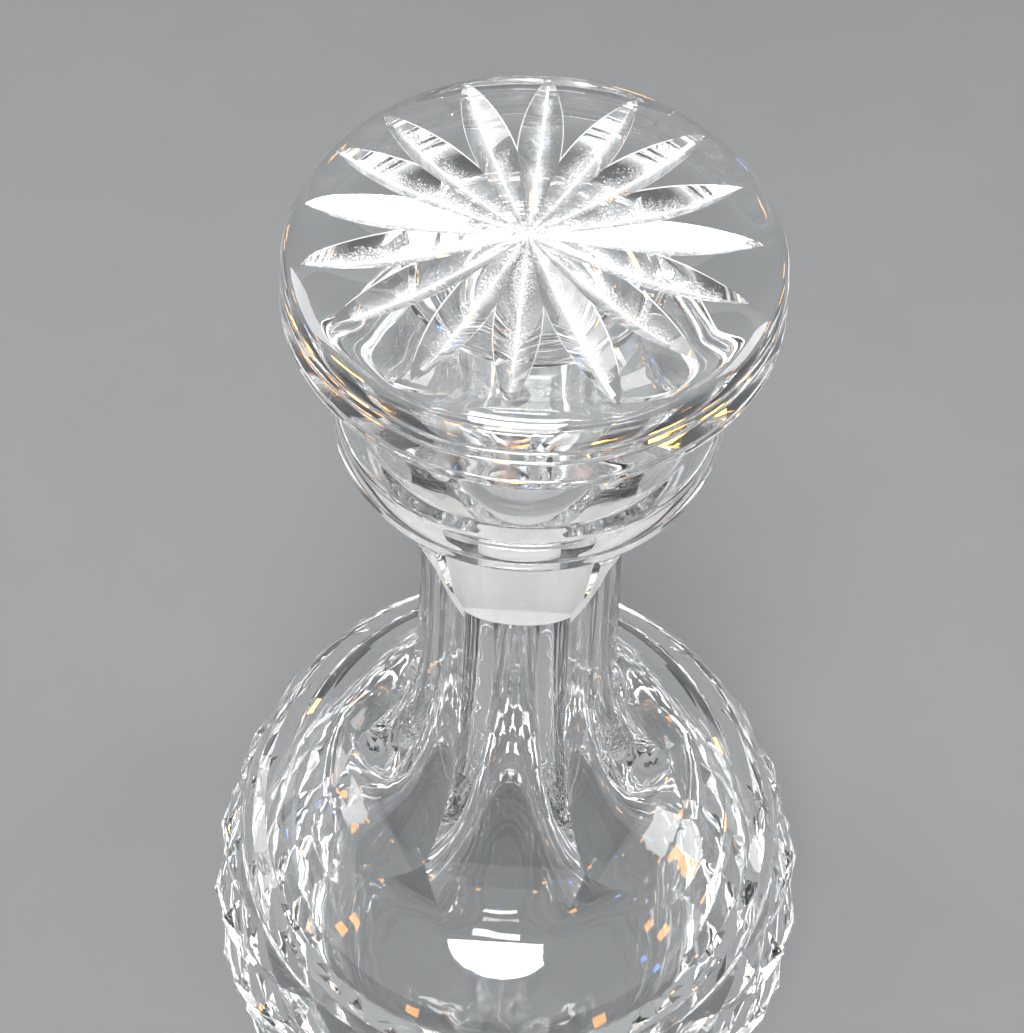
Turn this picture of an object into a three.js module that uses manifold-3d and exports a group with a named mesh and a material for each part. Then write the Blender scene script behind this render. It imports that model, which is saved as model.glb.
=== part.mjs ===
// Cut-glass decanter: a round-bodied vessel with a six-sided neck, and its star-cut stopper.
// Millimetres, +Z up, origin at the middle of the base. Heights are measured from the table.
import * as THREE from 'three';
import { mergeVertices } from 'three/addons/utils/BufferGeometryUtils.js';
import Module from 'manifold-3d';

const wasm = await Module();
wasm.setup();

// Vessel: body
const BODY_RADIUS = 67;
const BODY_WIDEST_HEIGHT = 49;
const BODY_RISE = 73; // the upper half is an ellipse that would close this far above its widest level
const FOOT_RADIUS = 45.7;
const FOOT_BEVEL = 0.9;
const FLOOR_THICKNESS = 15;
const BODY_WALL = 8;
const CAVITY_CORNER = 14; // radius between the cavity's floor and its wall

// Vessel: neck, mouth and lip
const LIP_HEIGHT = 229;
const LIP_RADIUS = 25.7;
const LIP_BAND_HEIGHT = 6.5;
const LIP_RIM_WIDTH = 2.9;
const LIP_WIDEST_DROP = 3.5; // from the rim down to the level where the band is widest
const LIP_DRAFT = 0.6; // the band is this much narrower at its top edge than at its widest
const LIP_UNDERCUT = 1.3; // and this much narrower at its bottom edge
const LIP_BEVEL = 0.4;
const MOUTH_DEPTH = 16; // from the rim down to the top of the ground seat
const MOUTH_FULLNESS = 1.5; // how far inside its rim the mouth's funnel bends
const MOUTH_BEND_SHARE = 0.3; // and how high up the mouth it does
const FLARE_HEIGHT = 35.5; // from the neck's waist up to the rim
const NECK_STANDOFF = 0.6; // the round neck stands this far outside the panels' ridges
const NECK_SPREAD = 1.3; // how much the neck has widened where its lower curve takes over
const NECK_REACH = 40; // how far below the waist the neck's lower curve takes over
const SHOULDER_RADIUS = 37; // where the body's ellipse turns into the neck's hollow curve
const SHOULDER_REACH = 14.8; // how far the body's slope runs on into the neck's curve
const CAVITY_SHOULDER_INSET = 8; // the bore's shoulder lies this far inside the neck's shoulder
const CAVITY_NECK_SHARE = 0.45; // share of the bore's height at which it has become straight

// Vessel: cuts
const PANEL_COUNT = 6;
const PANEL_TURN = -91.5; // azimuth of the middle of the front panel, in degrees
const NECK_WALL = 3.2; // top of the bore to the middle of a panel at the neck's waist
const LIP_PANEL_INSET = 3.8; // lip's edge to the middle of a panel, right under the lip band
const PANEL_TIP_OUTSET = 4.5; // a panel's rounded end runs out this much further out than that
const PANEL_TIP_ANGLE = -28.4; // slope of a panel where it runs out, in degrees
const PANEL_TIP_REACH = 29; // how far that slope carries on up the panel
const PANEL_SPREAD = 1.1; // how much further out a panel is at its lower bend than at the waist
const PANEL_BEND_SHARE = 0.41; // how high up the panel's sweep that bend is
const RING_RADIUS = 52; // the mitre groove round the shoulder
const RING_DEPTH = 1.8;
const RING_WIDTH = 4.2;
const DIAMOND_COLUMNS = 18;
const DIAMOND_HEIGHT = 20;
const DIAMOND_DEPTH = 2.4;
const DIAMOND_START = 3.4; // plain band under the ring groove
const DIAMOND_END_HEIGHT = 9; // the cutting stops about this high above the table

// Stopper
const HEAD_RADIUS = 29.9;
const HEAD_THICKNESS = 9.4;
const HEAD_ABOVE_LIP = 17.6;
const HEAD_DRAFT = 0.7; // the head is this much narrower above its side than at its lower edge
const HEAD_ROUNDING = 5; // width of the rounded edge of the head's flat top
const HEAD_FULLNESS = 0.6; // how far inside the head's side that rounding turns
const HEAD_SHOULDER_DROP = 3; // height of the rounded edge
const HEAD_LINE_DEPTH = 0.35; // fine turned line under the rounded top edge
const HEAD_EDGE_BEVEL = 0.5;
const STEM_INSET = 1; // the stem is this much thinner than the plug's top
const STEM_NECKING = 2; // height over which the plug narrows to the stem
const STEM_FILLET = 4.5;
const STEM_COLLAR_WIDTH = 1.5;
const STEM_COLLAR_DROP = 1;
const SEAT_RADIUS = 10.3; // the ground seat's bore, at its top
const SEAT_TAPER = 0.042; // loss of radius for each millimetre of depth
const SEAT_DEPTH = 27;
const SEAT_CLEARANCE = 0.3;
const PLUG_END_BEVEL = 0.8;
const STAR_RAYS = 16;
const STAR_TURN = -4.3; // azimuth of the first ray, in degrees
const RAY_OVERLAP = 2.4; // a ray's tip reaches this far into the head's rounded edge
const RAY_HALF_WIDTH = 2.7;
const RAY_WIDEST_INSET = 11.1; // from a ray's tip back to where it is widest
const RAY_DEPTH = 1.9;
const RAY_CENTRE_DEPTH = 1.1;
const RAY_START = -0.5; // each ray starts just past the middle, so that all of them meet there

// Facets
const VESSEL_COLUMNS = 2 * DIAMOND_COLUMNS;
const STOPPER_COLUMNS = 64;
const SWEEP_STEPS = 12;
const BELLY_STEPS = 5;
const CAVITY_TOP_STEPS = 8;
const CAVITY_NECK_STEPS = 9;
const MOUTH_STEPS = 6;
const ROUNDING_STEPS = 4;
const CUT_OVERSHOOT = 3; // how far a cutter stands out of the glass that it cuts

const HALF_PANEL = Math.PI / PANEL_COUNT;
const PANEL_APOTHEM = SEAT_RADIUS + NECK_WALL; // axis to the middle of a panel at the waist
const PANEL_CORNER = PANEL_APOTHEM / Math.cos(HALF_PANEL);
const NECK_RADIUS = PANEL_CORNER + NECK_STANDOFF;
const NECK_WAIST_HEIGHT = LIP_HEIGHT - FLARE_HEIGHT;
const PANEL_TIP_RADIUS = SHOULDER_RADIUS + PANEL_TIP_OUTSET;
const BAND_BOTTOM = LIP_HEIGHT - LIP_BAND_HEIGHT;
const SEAT_TOP = LIP_HEIGHT - MOUTH_DEPTH;
const SEAT_BOTTOM = SEAT_TOP - SEAT_DEPTH;
const SEAT_END_RADIUS = SEAT_RADIUS - SEAT_TAPER * SEAT_DEPTH;
const HEAD_BOTTOM = LIP_HEIGHT + HEAD_ABOVE_LIP;
const HEAD_TOP = HEAD_BOTTOM + HEAD_THICKNESS;
const HEAD_SHOULDER_RADIUS = HEAD_RADIUS - HEAD_DRAFT;
const HEAD_FLAT_RADIUS = HEAD_SHOULDER_RADIUS - HEAD_ROUNDING;
const PLUG_RADIUS = SEAT_RADIUS - SEAT_CLEARANCE;
const STEM_RADIUS = PLUG_RADIUS - STEM_INSET;
const STEM_COLLAR_RADIUS = STEM_RADIUS + STEM_FILLET + STEM_COLLAR_WIDTH;
const RAY_LENGTH = HEAD_FLAT_RADIUS + RAY_OVERLAP;
const RAY_WIDEST = RAY_LENGTH - RAY_WIDEST_INSET;

const radians = THREE.MathUtils.degToRad;
const point = (radius, height) => new THREE.Vector2(radius, height);

// A curve's points, without its last one so that curves can follow each other
function along(curve, steps) {
  return curve.getPoints(steps).slice(0, -1);
}

// Height above the widest level at which an ellipse of this radius and rise has the given radius
function ellipseHeight(radius, rise, atRadius) {
  return rise * Math.sqrt(1 - (atRadius / radius) ** 2);
}

function ellipseRadius(radius, rise, atHeight) {
  return radius * Math.sqrt(1 - (atHeight / rise) ** 2);
}

// Outward slope of the same ellipse, as a unit vector that points up and inwards
function ellipseTangent(radius, rise, atRadius) {
  const sine = Math.sqrt(1 - (atRadius / radius) ** 2);
  return point(-radius * sine, rise * atRadius / radius).normalize();
}

// Closed surface of revolution whose columns may be sunk, with its diagonals laid so that
// sunk columns in alternate rows make crossing valleys.
// The profile runs from the axis, up the outside and back to the axis.
function turned(profile, columns, firstAzimuth, sink = () => 0) {
  const positions = [];
  profile.forEach((p, row) => {
    for (let column = 0; column < columns; column++) {
      const azimuth = firstAzimuth + column * 2 * Math.PI / columns;
      const radius = Math.max(p.x - sink(row, column), 0);
      positions.push(radius * Math.cos(azimuth), radius * Math.sin(azimuth), p.y);
    }
  });
  const index = [];
  for (let row = 0; row < profile.length - 1; row++) {
    for (let column = 0; column < columns; column++) {
      const next = (column + 1) % columns;
      const a = row * columns + column;
      const b = row * columns + next;
      const c = a + columns;
      const d = b + columns;
      if ((row + column) % 2 === 0) {
        index.push(a, b, c, b, d, c);
      } else {
        index.push(a, b, d, a, d, c);
      }
    }
  }
  const geometry = new THREE.BufferGeometry();
  geometry.setAttribute('position', new THREE.Float32BufferAttribute(positions, 3));
  geometry.setIndex(index);
  return geometry;
}

function toSolid(geometry) {
  const bare = geometry.clone();
  bare.deleteAttribute('normal');
  bare.deleteAttribute('uv');
  const merged = mergeVertices(bare, 1e-4);
  const corners = merged.index.array;
  const triangles = [];
  for (let i = 0; i < corners.length; i += 3) {
    const [a, b, c] = corners.slice(i, i + 3);
    if (a !== b && b !== c && c !== a) {
      triangles.push(a, b, c);
    }
  }
  const vertProperties = new Float32Array(merged.attributes.position.array);
  const triVerts = new Uint32Array(triangles);
  return new wasm.Manifold(new wasm.Mesh({ numProp: 3, vertProperties, triVerts }));
}

function toGeometry(solid) {
  const mesh = solid.getMesh();
  const geometry = new THREE.BufferGeometry();
  geometry.setAttribute('position', new THREE.BufferAttribute(new Float32Array(mesh.vertProperties), 3));
  geometry.setIndex(new THREE.BufferAttribute(new Uint32Array(mesh.triVerts), 1));
  geometry.computeVertexNormals();
  return geometry;
}

// Rows of the diamond band: half a diamond apart along the body's outline
function diamondRows() {
  const ringHeight = BODY_WIDEST_HEIGHT + ellipseHeight(BODY_RADIUS, BODY_RISE, RING_RADIUS);
  const top = ringHeight - RING_WIDTH / 2 - DIAMOND_START;
  const count = 2 * Math.round((top - DIAMOND_END_HEIGHT) / DIAMOND_HEIGHT) + 1;
  const step = (top - DIAMOND_END_HEIGHT) / (count - 1);
  return Array.from({ length: count }, (_, row) => DIAMOND_END_HEIGHT + row * step);
}

function bodyRadiusAt(height) {
  const above = height - BODY_WIDEST_HEIGHT;
  if (above >= 0) {
    return ellipseRadius(BODY_RADIUS, BODY_RISE, above);
  }
  const drop = BODY_WIDEST_HEIGHT / Math.sqrt(1 - (FOOT_RADIUS / BODY_RADIUS) ** 2);
  return ellipseRadius(BODY_RADIUS, drop, above);
}

function vesselOutside() {
  const rows = diamondRows();
  const ringHeight = BODY_WIDEST_HEIGHT + ellipseHeight(BODY_RADIUS, BODY_RISE, RING_RADIUS);
  const halfRing = RING_WIDTH / 2;
  const shoulderHeight = BODY_WIDEST_HEIGHT + ellipseHeight(BODY_RADIUS, BODY_RISE, SHOULDER_RADIUS);
  const shoulder = point(SHOULDER_RADIUS, shoulderHeight);
  const tangent = ellipseTangent(BODY_RADIUS, BODY_RISE, SHOULDER_RADIUS);
  const neckCurve = new THREE.CubicBezierCurve(
    shoulder,
    shoulder.clone().addScaledVector(tangent, SHOULDER_REACH),
    point(NECK_RADIUS + NECK_SPREAD, NECK_WAIST_HEIGHT - NECK_REACH),
    point(NECK_RADIUS, NECK_WAIST_HEIGHT),
  );
  const footRise = (FOOT_BEVEL + rows[0]) / 2;
  const foot = [
    point(0, 0),
    point(FOOT_RADIUS - FOOT_BEVEL, 0),
    point(bodyRadiusAt(FOOT_BEVEL), FOOT_BEVEL),
    point(bodyRadiusAt(footRise), footRise),
  ];
  const ring = [
    point(bodyRadiusAt(ringHeight - halfRing), ringHeight - halfRing),
    point(RING_RADIUS - RING_DEPTH, ringHeight - RING_DEPTH / 2),
    point(bodyRadiusAt(ringHeight + halfRing), ringHeight + halfRing),
  ];
  const shoulderRise = [1, 2].map((third) => {
    return THREE.MathUtils.lerp(ringHeight + halfRing, shoulderHeight, third / 3);
  });
  const band = [
    point(LIP_RADIUS - LIP_UNDERCUT, BAND_BOTTOM),
    point(LIP_RADIUS, LIP_HEIGHT - LIP_WIDEST_DROP),
    point(LIP_RADIUS - LIP_DRAFT, LIP_HEIGHT - LIP_BEVEL),
    point(LIP_RADIUS - LIP_DRAFT - LIP_BEVEL, LIP_HEIGHT),
  ];
  const profile = [
    ...foot,
    ...rows.map((height) => point(bodyRadiusAt(height), height)),
    ...ring,
    ...shoulderRise.map((height) => point(bodyRadiusAt(height), height)),
    ...along(neckCurve, SWEEP_STEPS),
    point(NECK_RADIUS, NECK_WAIST_HEIGHT),
    ...band,
    point(0, LIP_HEIGHT),
  ];
  const firstDiamondRow = foot.length;
  const lastDiamondRow = firstDiamondRow + rows.length - 1;
  const sink = (row, column) => {
    const cut = row > firstDiamondRow && row < lastDiamondRow;
    return cut && (row + column) % 2 === 1 ? DIAMOND_DEPTH : 0;
  };
  return toSolid(turned(profile, VESSEL_COLUMNS, radians(PANEL_TURN) + HALF_PANEL, sink));
}

// One long flat panel, hollow along its length, that a wheel cuts from the lip down to the shoulder
function panelCutter(azimuth) {
  const tipHeight = BODY_WIDEST_HEIGHT + ellipseHeight(BODY_RADIUS, BODY_RISE, PANEL_TIP_RADIUS);
  const tip = point(PANEL_TIP_RADIUS, tipHeight);
  const leaving = point(Math.cos(radians(PANEL_TIP_ANGLE)), Math.sin(radians(PANEL_TIP_ANGLE)));
  const bendHeight = THREE.MathUtils.lerp(tipHeight, NECK_WAIST_HEIGHT, PANEL_BEND_SHARE);
  const sweep = new THREE.CubicBezierCurve(
    point(PANEL_APOTHEM, NECK_WAIST_HEIGHT),
    point(PANEL_APOTHEM + PANEL_SPREAD, bendHeight),
    tip.clone().addScaledVector(leaving, -PANEL_TIP_REACH),
    tip,
  );
  const runOut = 4 * CUT_OVERSHOOT;
  const outside = PANEL_TIP_RADIUS + runOut;
  const outline = new THREE.Shape([
    point(outside, BAND_BOTTOM),
    point(LIP_RADIUS - LIP_PANEL_INSET, BAND_BOTTOM),
    ...along(sweep, SWEEP_STEPS),
    tip,
    tip.clone().addScaledVector(leaving, runOut),
    point(outside, tip.y),
  ]);
  const width = 2 * PANEL_TIP_RADIUS;
  const geometry = new THREE.ExtrudeGeometry(outline, { depth: width, bevelEnabled: false });
  // The outline is drawn with its radius along X and its height along Y
  geometry.translate(0, 0, -width / 2);
  geometry.rotateX(Math.PI / 2);
  geometry.rotateZ(azimuth);
  return toSolid(geometry);
}

// Everything hollow: mouth, ground seat, neck bore and belly, in one profile from the top down
function vesselCavity() {
  const rimInner = LIP_RADIUS - LIP_DRAFT - LIP_RIM_WIDTH;
  const cavityRadius = BODY_RADIUS - BODY_WALL;
  const cavityRise = BODY_RISE - BODY_WALL;
  const cavityDrop = BODY_WIDEST_HEIGHT - FLOOR_THICKNESS + CAVITY_CORNER;
  const floorRadius = ellipseRadius(cavityRadius, cavityDrop, cavityDrop - CAVITY_CORNER);
  const shoulderRadius = SHOULDER_RADIUS - CAVITY_SHOULDER_INSET;
  const shoulderHeight = BODY_WIDEST_HEIGHT + ellipseHeight(cavityRadius, cavityRise, shoulderRadius);
  const shoulder = point(shoulderRadius, shoulderHeight);
  const tangent = ellipseTangent(cavityRadius, cavityRise, shoulderRadius);
  const neckCurve = new THREE.CubicBezierCurve(
    shoulder,
    shoulder.clone().addScaledVector(tangent, SHOULDER_REACH),
    point(SEAT_END_RADIUS, THREE.MathUtils.lerp(shoulderHeight, SEAT_BOTTOM, CAVITY_NECK_SHARE)),
    point(SEAT_END_RADIUS, SEAT_BOTTOM),
  );
  const mouth = new THREE.QuadraticBezierCurve(
    point(SEAT_RADIUS, SEAT_TOP),
    point(rimInner - MOUTH_FULLNESS, SEAT_TOP + MOUTH_BEND_SHARE * MOUTH_DEPTH),
    point(rimInner, LIP_HEIGHT - LIP_BEVEL),
  );
  const belly = new THREE.EllipseCurve(0, BODY_WIDEST_HEIGHT, cavityRadius, cavityDrop,
    -Math.acos(floorRadius / cavityRadius), 0);
  const top = new THREE.EllipseCurve(0, BODY_WIDEST_HEIGHT, cavityRadius, cavityRise,
    0, Math.acos(shoulderRadius / cavityRadius));
  const profile = [
    point(0, FLOOR_THICKNESS),
    ...along(belly, BELLY_STEPS),
    ...along(top, CAVITY_TOP_STEPS),
    ...along(neckCurve, CAVITY_NECK_STEPS),
    point(SEAT_END_RADIUS, SEAT_BOTTOM),
    ...along(mouth, MOUTH_STEPS),
    point(rimInner, LIP_HEIGHT - LIP_BEVEL),
    point(rimInner + LIP_BEVEL, LIP_HEIGHT),
    point(rimInner + LIP_BEVEL, LIP_HEIGHT + CUT_OVERSHOOT),
    point(0, LIP_HEIGHT + CUT_OVERSHOOT),
  ];
  return toSolid(turned(profile, VESSEL_COLUMNS, radians(PANEL_TURN) + HALF_PANEL));
}

function vessel() {
  let solid = vesselOutside();
  for (let panel = 0; panel < PANEL_COUNT; panel++) {
    solid = solid.subtract(panelCutter(radians(PANEL_TURN) + panel * 2 * HALF_PANEL));
  }
  return toGeometry(solid.subtract(vesselCavity()));
}

function stopperBlank() {
  const collarTop = HEAD_BOTTOM - STEM_COLLAR_DROP;
  const fillet = new THREE.EllipseCurve(STEM_RADIUS + STEM_FILLET, collarTop - STEM_FILLET,
    STEM_FILLET, STEM_FILLET, Math.PI, Math.PI / 2, true);
  const shoulder = new THREE.QuadraticBezierCurve(
    point(HEAD_SHOULDER_RADIUS, HEAD_TOP - HEAD_SHOULDER_DROP),
    point(HEAD_SHOULDER_RADIUS - HEAD_FULLNESS, HEAD_TOP),
    point(HEAD_FLAT_RADIUS, HEAD_TOP),
  );
  const plugLength = SEAT_DEPTH - SEAT_CLEARANCE;
  const plugEnd = PLUG_RADIUS - SEAT_TAPER * plugLength;
  const plugBottom = SEAT_TOP - plugLength;
  const lineHeight = HEAD_TOP - HEAD_SHOULDER_DROP - HEAD_LINE_DEPTH;
  const profile = [
    point(0, plugBottom),
    point(plugEnd - PLUG_END_BEVEL, plugBottom),
    point(plugEnd, plugBottom + PLUG_END_BEVEL),
    point(PLUG_RADIUS, SEAT_TOP),
    point(STEM_RADIUS, SEAT_TOP + STEM_NECKING),
    ...along(fillet, ROUNDING_STEPS),
    point(STEM_RADIUS + STEM_FILLET, collarTop),
    point(STEM_COLLAR_RADIUS, collarTop),
    point(STEM_COLLAR_RADIUS + STEM_COLLAR_DROP, HEAD_BOTTOM),
    point(HEAD_RADIUS - HEAD_EDGE_BEVEL, HEAD_BOTTOM),
    point(HEAD_RADIUS, HEAD_BOTTOM + HEAD_EDGE_BEVEL),
    point(HEAD_SHOULDER_RADIUS + HEAD_LINE_DEPTH, lineHeight - HEAD_LINE_DEPTH),
    point(HEAD_SHOULDER_RADIUS - HEAD_LINE_DEPTH, lineHeight),
    ...along(shoulder, ROUNDING_STEPS),
    point(HEAD_FLAT_RADIUS, HEAD_TOP),
    point(0, HEAD_TOP),
  ];
  return toSolid(turned(profile, STOPPER_COLUMNS, radians(STAR_TURN) + Math.PI / STOPPER_COLUMNS));
}

// A leaf-shaped mitre cut: a V groove, deepest and widest part way out, that runs out at both ends
function rayCutter(azimuth) {
  const high = HEAD_TOP + CUT_OVERSHOOT;
  const sideSlope = RAY_HALF_WIDTH / RAY_DEPTH;
  const crease = [[RAY_START, RAY_CENTRE_DEPTH], [RAY_WIDEST, RAY_DEPTH], [RAY_LENGTH, 0]];
  const corners = crease.map(([reach, depth]) => {
    const side = sideSlope * (depth + CUT_OVERSHOOT);
    return [[reach, 0, HEAD_TOP - depth], [reach, side, high], [reach, -side, high]];
  });
  const geometry = new THREE.BufferGeometry();
  geometry.setAttribute('position', new THREE.Float32BufferAttribute(corners.flat(2), 3));
  const index = [0, 2, 1, 6, 7, 8];
  for (const start of [0, 3]) {
    const [low, left, right] = [start, start + 1, start + 2];
    index.push(low, left, low + 3, left, left + 3, low + 3);
    index.push(left, right, left + 3, right, right + 3, left + 3);
    index.push(right, low, right + 3, low, low + 3, right + 3);
  }
  geometry.setIndex(index);
  geometry.rotateZ(azimuth);
  return toSolid(geometry);
}

function stopper() {
  let solid = stopperBlank();
  for (let ray = 0; ray < STAR_RAYS; ray++) {
    solid = solid.subtract(rayCutter(radians(STAR_TURN) + ray * 2 * Math.PI / STAR_RAYS));
  }
  return toGeometry(solid);
}

function named(name, geometry) {
  const clearCrystal = new THREE.MeshStandardMaterial({
    color: 0xf2f4f3,
    roughness: 0.03,
    metalness: 0,
    transparent: true,
    opacity: 0.45,
    flatShading: true,
  });
  const mesh = new THREE.Mesh(geometry, clearCrystal);
  mesh.name = name;
  return mesh;
}

const decanter = new THREE.Group();
decanter.add(named('vessel', vessel()));
decanter.add(named('stopper', stopper()));

export default decanter;
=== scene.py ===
import math

import bmesh
import bpy
from mathutils import Matrix, Vector


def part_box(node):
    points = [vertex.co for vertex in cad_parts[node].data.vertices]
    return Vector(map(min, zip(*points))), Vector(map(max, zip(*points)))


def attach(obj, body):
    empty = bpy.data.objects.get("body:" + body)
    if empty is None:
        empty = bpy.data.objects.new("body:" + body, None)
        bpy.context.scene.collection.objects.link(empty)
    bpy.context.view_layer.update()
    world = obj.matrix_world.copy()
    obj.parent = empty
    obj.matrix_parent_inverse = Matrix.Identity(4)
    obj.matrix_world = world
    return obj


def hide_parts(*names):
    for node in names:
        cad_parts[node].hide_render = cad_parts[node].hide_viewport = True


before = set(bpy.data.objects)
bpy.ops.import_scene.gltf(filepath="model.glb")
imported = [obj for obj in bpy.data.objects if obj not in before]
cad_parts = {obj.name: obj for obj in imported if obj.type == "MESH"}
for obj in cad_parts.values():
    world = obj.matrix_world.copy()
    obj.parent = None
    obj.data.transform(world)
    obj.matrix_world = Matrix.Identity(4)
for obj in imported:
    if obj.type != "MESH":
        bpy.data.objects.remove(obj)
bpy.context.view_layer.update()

MM = 0.001
VESSEL_BOX = [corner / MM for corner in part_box("vessel")]
STOPPER_BOX = [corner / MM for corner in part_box("stopper")]

# Camera, from the photograph's circles seen as ellipses
CAMERA_PLACE = (-1.6, -115.8, 368.9)
CAMERA_PITCH = 55.9  # below the horizon
CAMERA_ROLL = 2
CAMERA_LENS = 48.8
CAMERA_SENSOR = 36

# Vessel: body
BODY_RADIUS = VESSEL_BOX[1].x
BODY_WIDEST_HEIGHT = 49
BODY_RISE = 73
FOOT_RADIUS = 45.7
FOOT_BEVEL = 0.9
FOOT_EASE = 0.2  # the bevel's bend stays this far inside the foot's radius
FLOOR_THICKNESS = 15
BODY_WALL = 8
CAVITY_CORNER = 14
FLOOR_ROUNDING = 2.5
FLOOR_BEND = 1.6  # from the wall to the bend of the floor's rounding, in roundings
FLOOR_REACH = 4  # from the wall to where the floor is flat, in roundings

# Vessel: neck, mouth and lip
LIP_HEIGHT = VESSEL_BOX[1].z
LIP_RADIUS = 25.7
LIP_BAND_HEIGHT = 6.5
LIP_RIM_WIDTH = 2.9
LIP_WIDEST_DROP = 3.5
LIP_DRAFT = 0.6
LIP_UNDERCUT = 1.3
LIP_BEVEL = 0.4
MOUTH_DEPTH = 16
MOUTH_FULLNESS = 1.5
MOUTH_BEND_SHARE = 0.3
FLARE_HEIGHT = 35.5
NECK_STANDOFF = 0.6
NECK_SPREAD = 1.3
NECK_REACH = 40
SHOULDER_RADIUS = 37
SHOULDER_REACH = 14.8
CAVITY_SHOULDER_RADIUS = 29
CAVITY_NECK_SHARE = 0.45

# Vessel: cuts
PANEL_COUNT = 6
PANEL_TURN = -91.5  # of the first panel's middle
PANEL_APOTHEM = 13.5
LIP_PANEL_INSET = 3.8
PANEL_TIP_RADIUS = 41.5
PANEL_TIP_ANGLE = -28.4  # at which the wheel leaves the shoulder
PANEL_TIP_REACH = 29
PANEL_SPREAD = 1.1
PANEL_BEND_SHARE = 0.41
RING_RADIUS = 52
RING_DEPTH = 1.8
RING_WIDTH = 4.2
DIAMOND_COLUMNS = 18
DIAMOND_HEIGHT = 20
DIAMOND_DEPTH = 2.4
DIAMOND_START = 3.4
DIAMOND_END_HEIGHT = 9

# Stopper
HEAD_RADIUS = STOPPER_BOX[1].x
HEAD_THICKNESS = 9.4
HEAD_TOP = STOPPER_BOX[1].z
HEAD_DRAFT = 0.7
HEAD_ROUNDING = 5
HEAD_FULLNESS = 0.6
HEAD_SHOULDER_DROP = 3
HEAD_LINE_DEPTH = 0.3
HEAD_LINE_WIDTH = 0.16  # from a line's middle to where it is a third as deep
HEAD_LINE_DROPS = (3.4, 4.8, 7.6)  # fine turned lines round the head's side, below its top
HEAD_EDGE_BEVEL = 0.5
STEM_RADIUS = 9
STEM_NECKING = 2
STEM_FILLET = 4.5
STEM_COLLAR_RADIUS = 15
STEM_COLLAR_DROP = 1
STEM_COLLAR_ROUNDING = 0.4
SEAT_RADIUS = 10.3
SEAT_TAPER = 0.042
SEAT_DEPTH = 27
SEAT_CLEARANCE = 0.3
PLUG_END_BEVEL = 0.8

# The star's rays are cut by hand, so their directions wander a little
RAY_AZIMUTHS = (-165.8, -143.9, -117.3, -93.2, -68.2, -45.2, -22.8, -2.6,
                17.9, 39.3, 60.8, 85.6, 108.4, 134, 152, 173)
STAR_CENTRE = (-0.9, 0)
RAY_LENGTH = 26.9
RAY_WANDER = 0.03  # share by which the rays' lengths differ
RAY_SLOPE = 35  # of each side of a ray's groove
RAY_WIDEST = 14.5
RAY_DEPTH = 1.9
RAY_CENTRE_DEPTH = 1.1
RAY_START = -0.5  # the cutter begins this far past the star's middle
RAY_SEED = 7

# Fineness of the meshes
VESSEL_COLUMNS = 288
STOPPER_COLUMNS = 256
HEAD_SIDE_STEPS = 66  # enough for the turned lines
RAY_STEPS = 22
BASE_MIDDLE = 10  # radii of the innermost rings of points, inside which the faces meet in the middle
FLOOR_MIDDLE = 8
PLUG_MIDDLE = 3
HEAD_MIDDLE_MARGIN = 0.6  # from the edge of the head's flat to its innermost ring
SHARP_ANGLE = 13  # between faces, past which an edge is a crease
MERGE_DISTANCE = 1e-6
CUT_OVERSHOOT = 3
PANEL_RUN_OUT = 12  # how far the panel's cutter goes on past its tip

NECK_RADIUS = PANEL_APOTHEM / math.cos(math.pi / PANEL_COUNT) + NECK_STANDOFF
NECK_WAIST_HEIGHT = LIP_HEIGHT - FLARE_HEIGHT
BAND_BOTTOM = LIP_HEIGHT - LIP_BAND_HEIGHT
SEAT_TOP = LIP_HEIGHT - MOUTH_DEPTH
SEAT_BOTTOM = SEAT_TOP - SEAT_DEPTH
SEAT_END_RADIUS = SEAT_RADIUS - SEAT_TAPER * SEAT_DEPTH
HEAD_BOTTOM = HEAD_TOP - HEAD_THICKNESS
HEAD_SHOULDER_RADIUS = HEAD_RADIUS - HEAD_DRAFT
HEAD_FLAT_RADIUS = HEAD_SHOULDER_RADIUS - HEAD_ROUNDING
PLUG_RADIUS = SEAT_RADIUS - SEAT_CLEARANCE


def linear(colour):
    """An sRGB hex colour as linear red, green, blue and alpha."""
    parts = [int(colour[i:i + 2], 16) / 255 for i in (1, 3, 5)]
    return tuple(c / 12.92 if c <= 0.04045 else ((c + 0.055) / 1.055) ** 2.4 for c in parts) + (1.0,)


def add(tree, kind, inputs=None, **settings):
    """Adds a node with its settings and its inputs, which are values or other nodes' outputs."""
    made = tree.nodes.new(kind)
    for name, value in settings.items():
        setattr(made, name, value)
    for name, value in (inputs or {}).items():
        socket = made.inputs[name]
        if isinstance(value, bpy.types.NodeSocket):
            tree.links.new(value, socket)
        else:
            socket.default_value = value
    return made


def maths_in(tree):
    """A short way to put a Math node into this tree: maths(operation, value, ...)."""
    def maths(operation, *values):
        return add(tree, "ShaderNodeMath", dict(enumerate(values)), operation=operation).outputs[0]
    return maths


# Outlines, as lists of (radius, height)

def straight(start, end, steps=1):
    """Points from start up to end, without end."""
    return [tuple(a + (b - a) * i / steps for a, b in zip(start, end)) for i in range(steps)]


def bent(points, steps):
    """Points along the Bezier curve of three or four control points, without its last one."""
    order = len(points) - 1
    made = []
    for i in range(steps):
        t = i / steps
        shares = [math.comb(order, k) * t ** k * (1 - t) ** (order - k) for k in range(order + 1)]
        made.append(tuple(sum(s * p[axis] for s, p in zip(shares, points)) for axis in (0, 1)))
    return made


def ellipse_height(radius, rise, at_radius):
    return rise * math.sqrt(1 - (at_radius / radius) ** 2)


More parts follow.
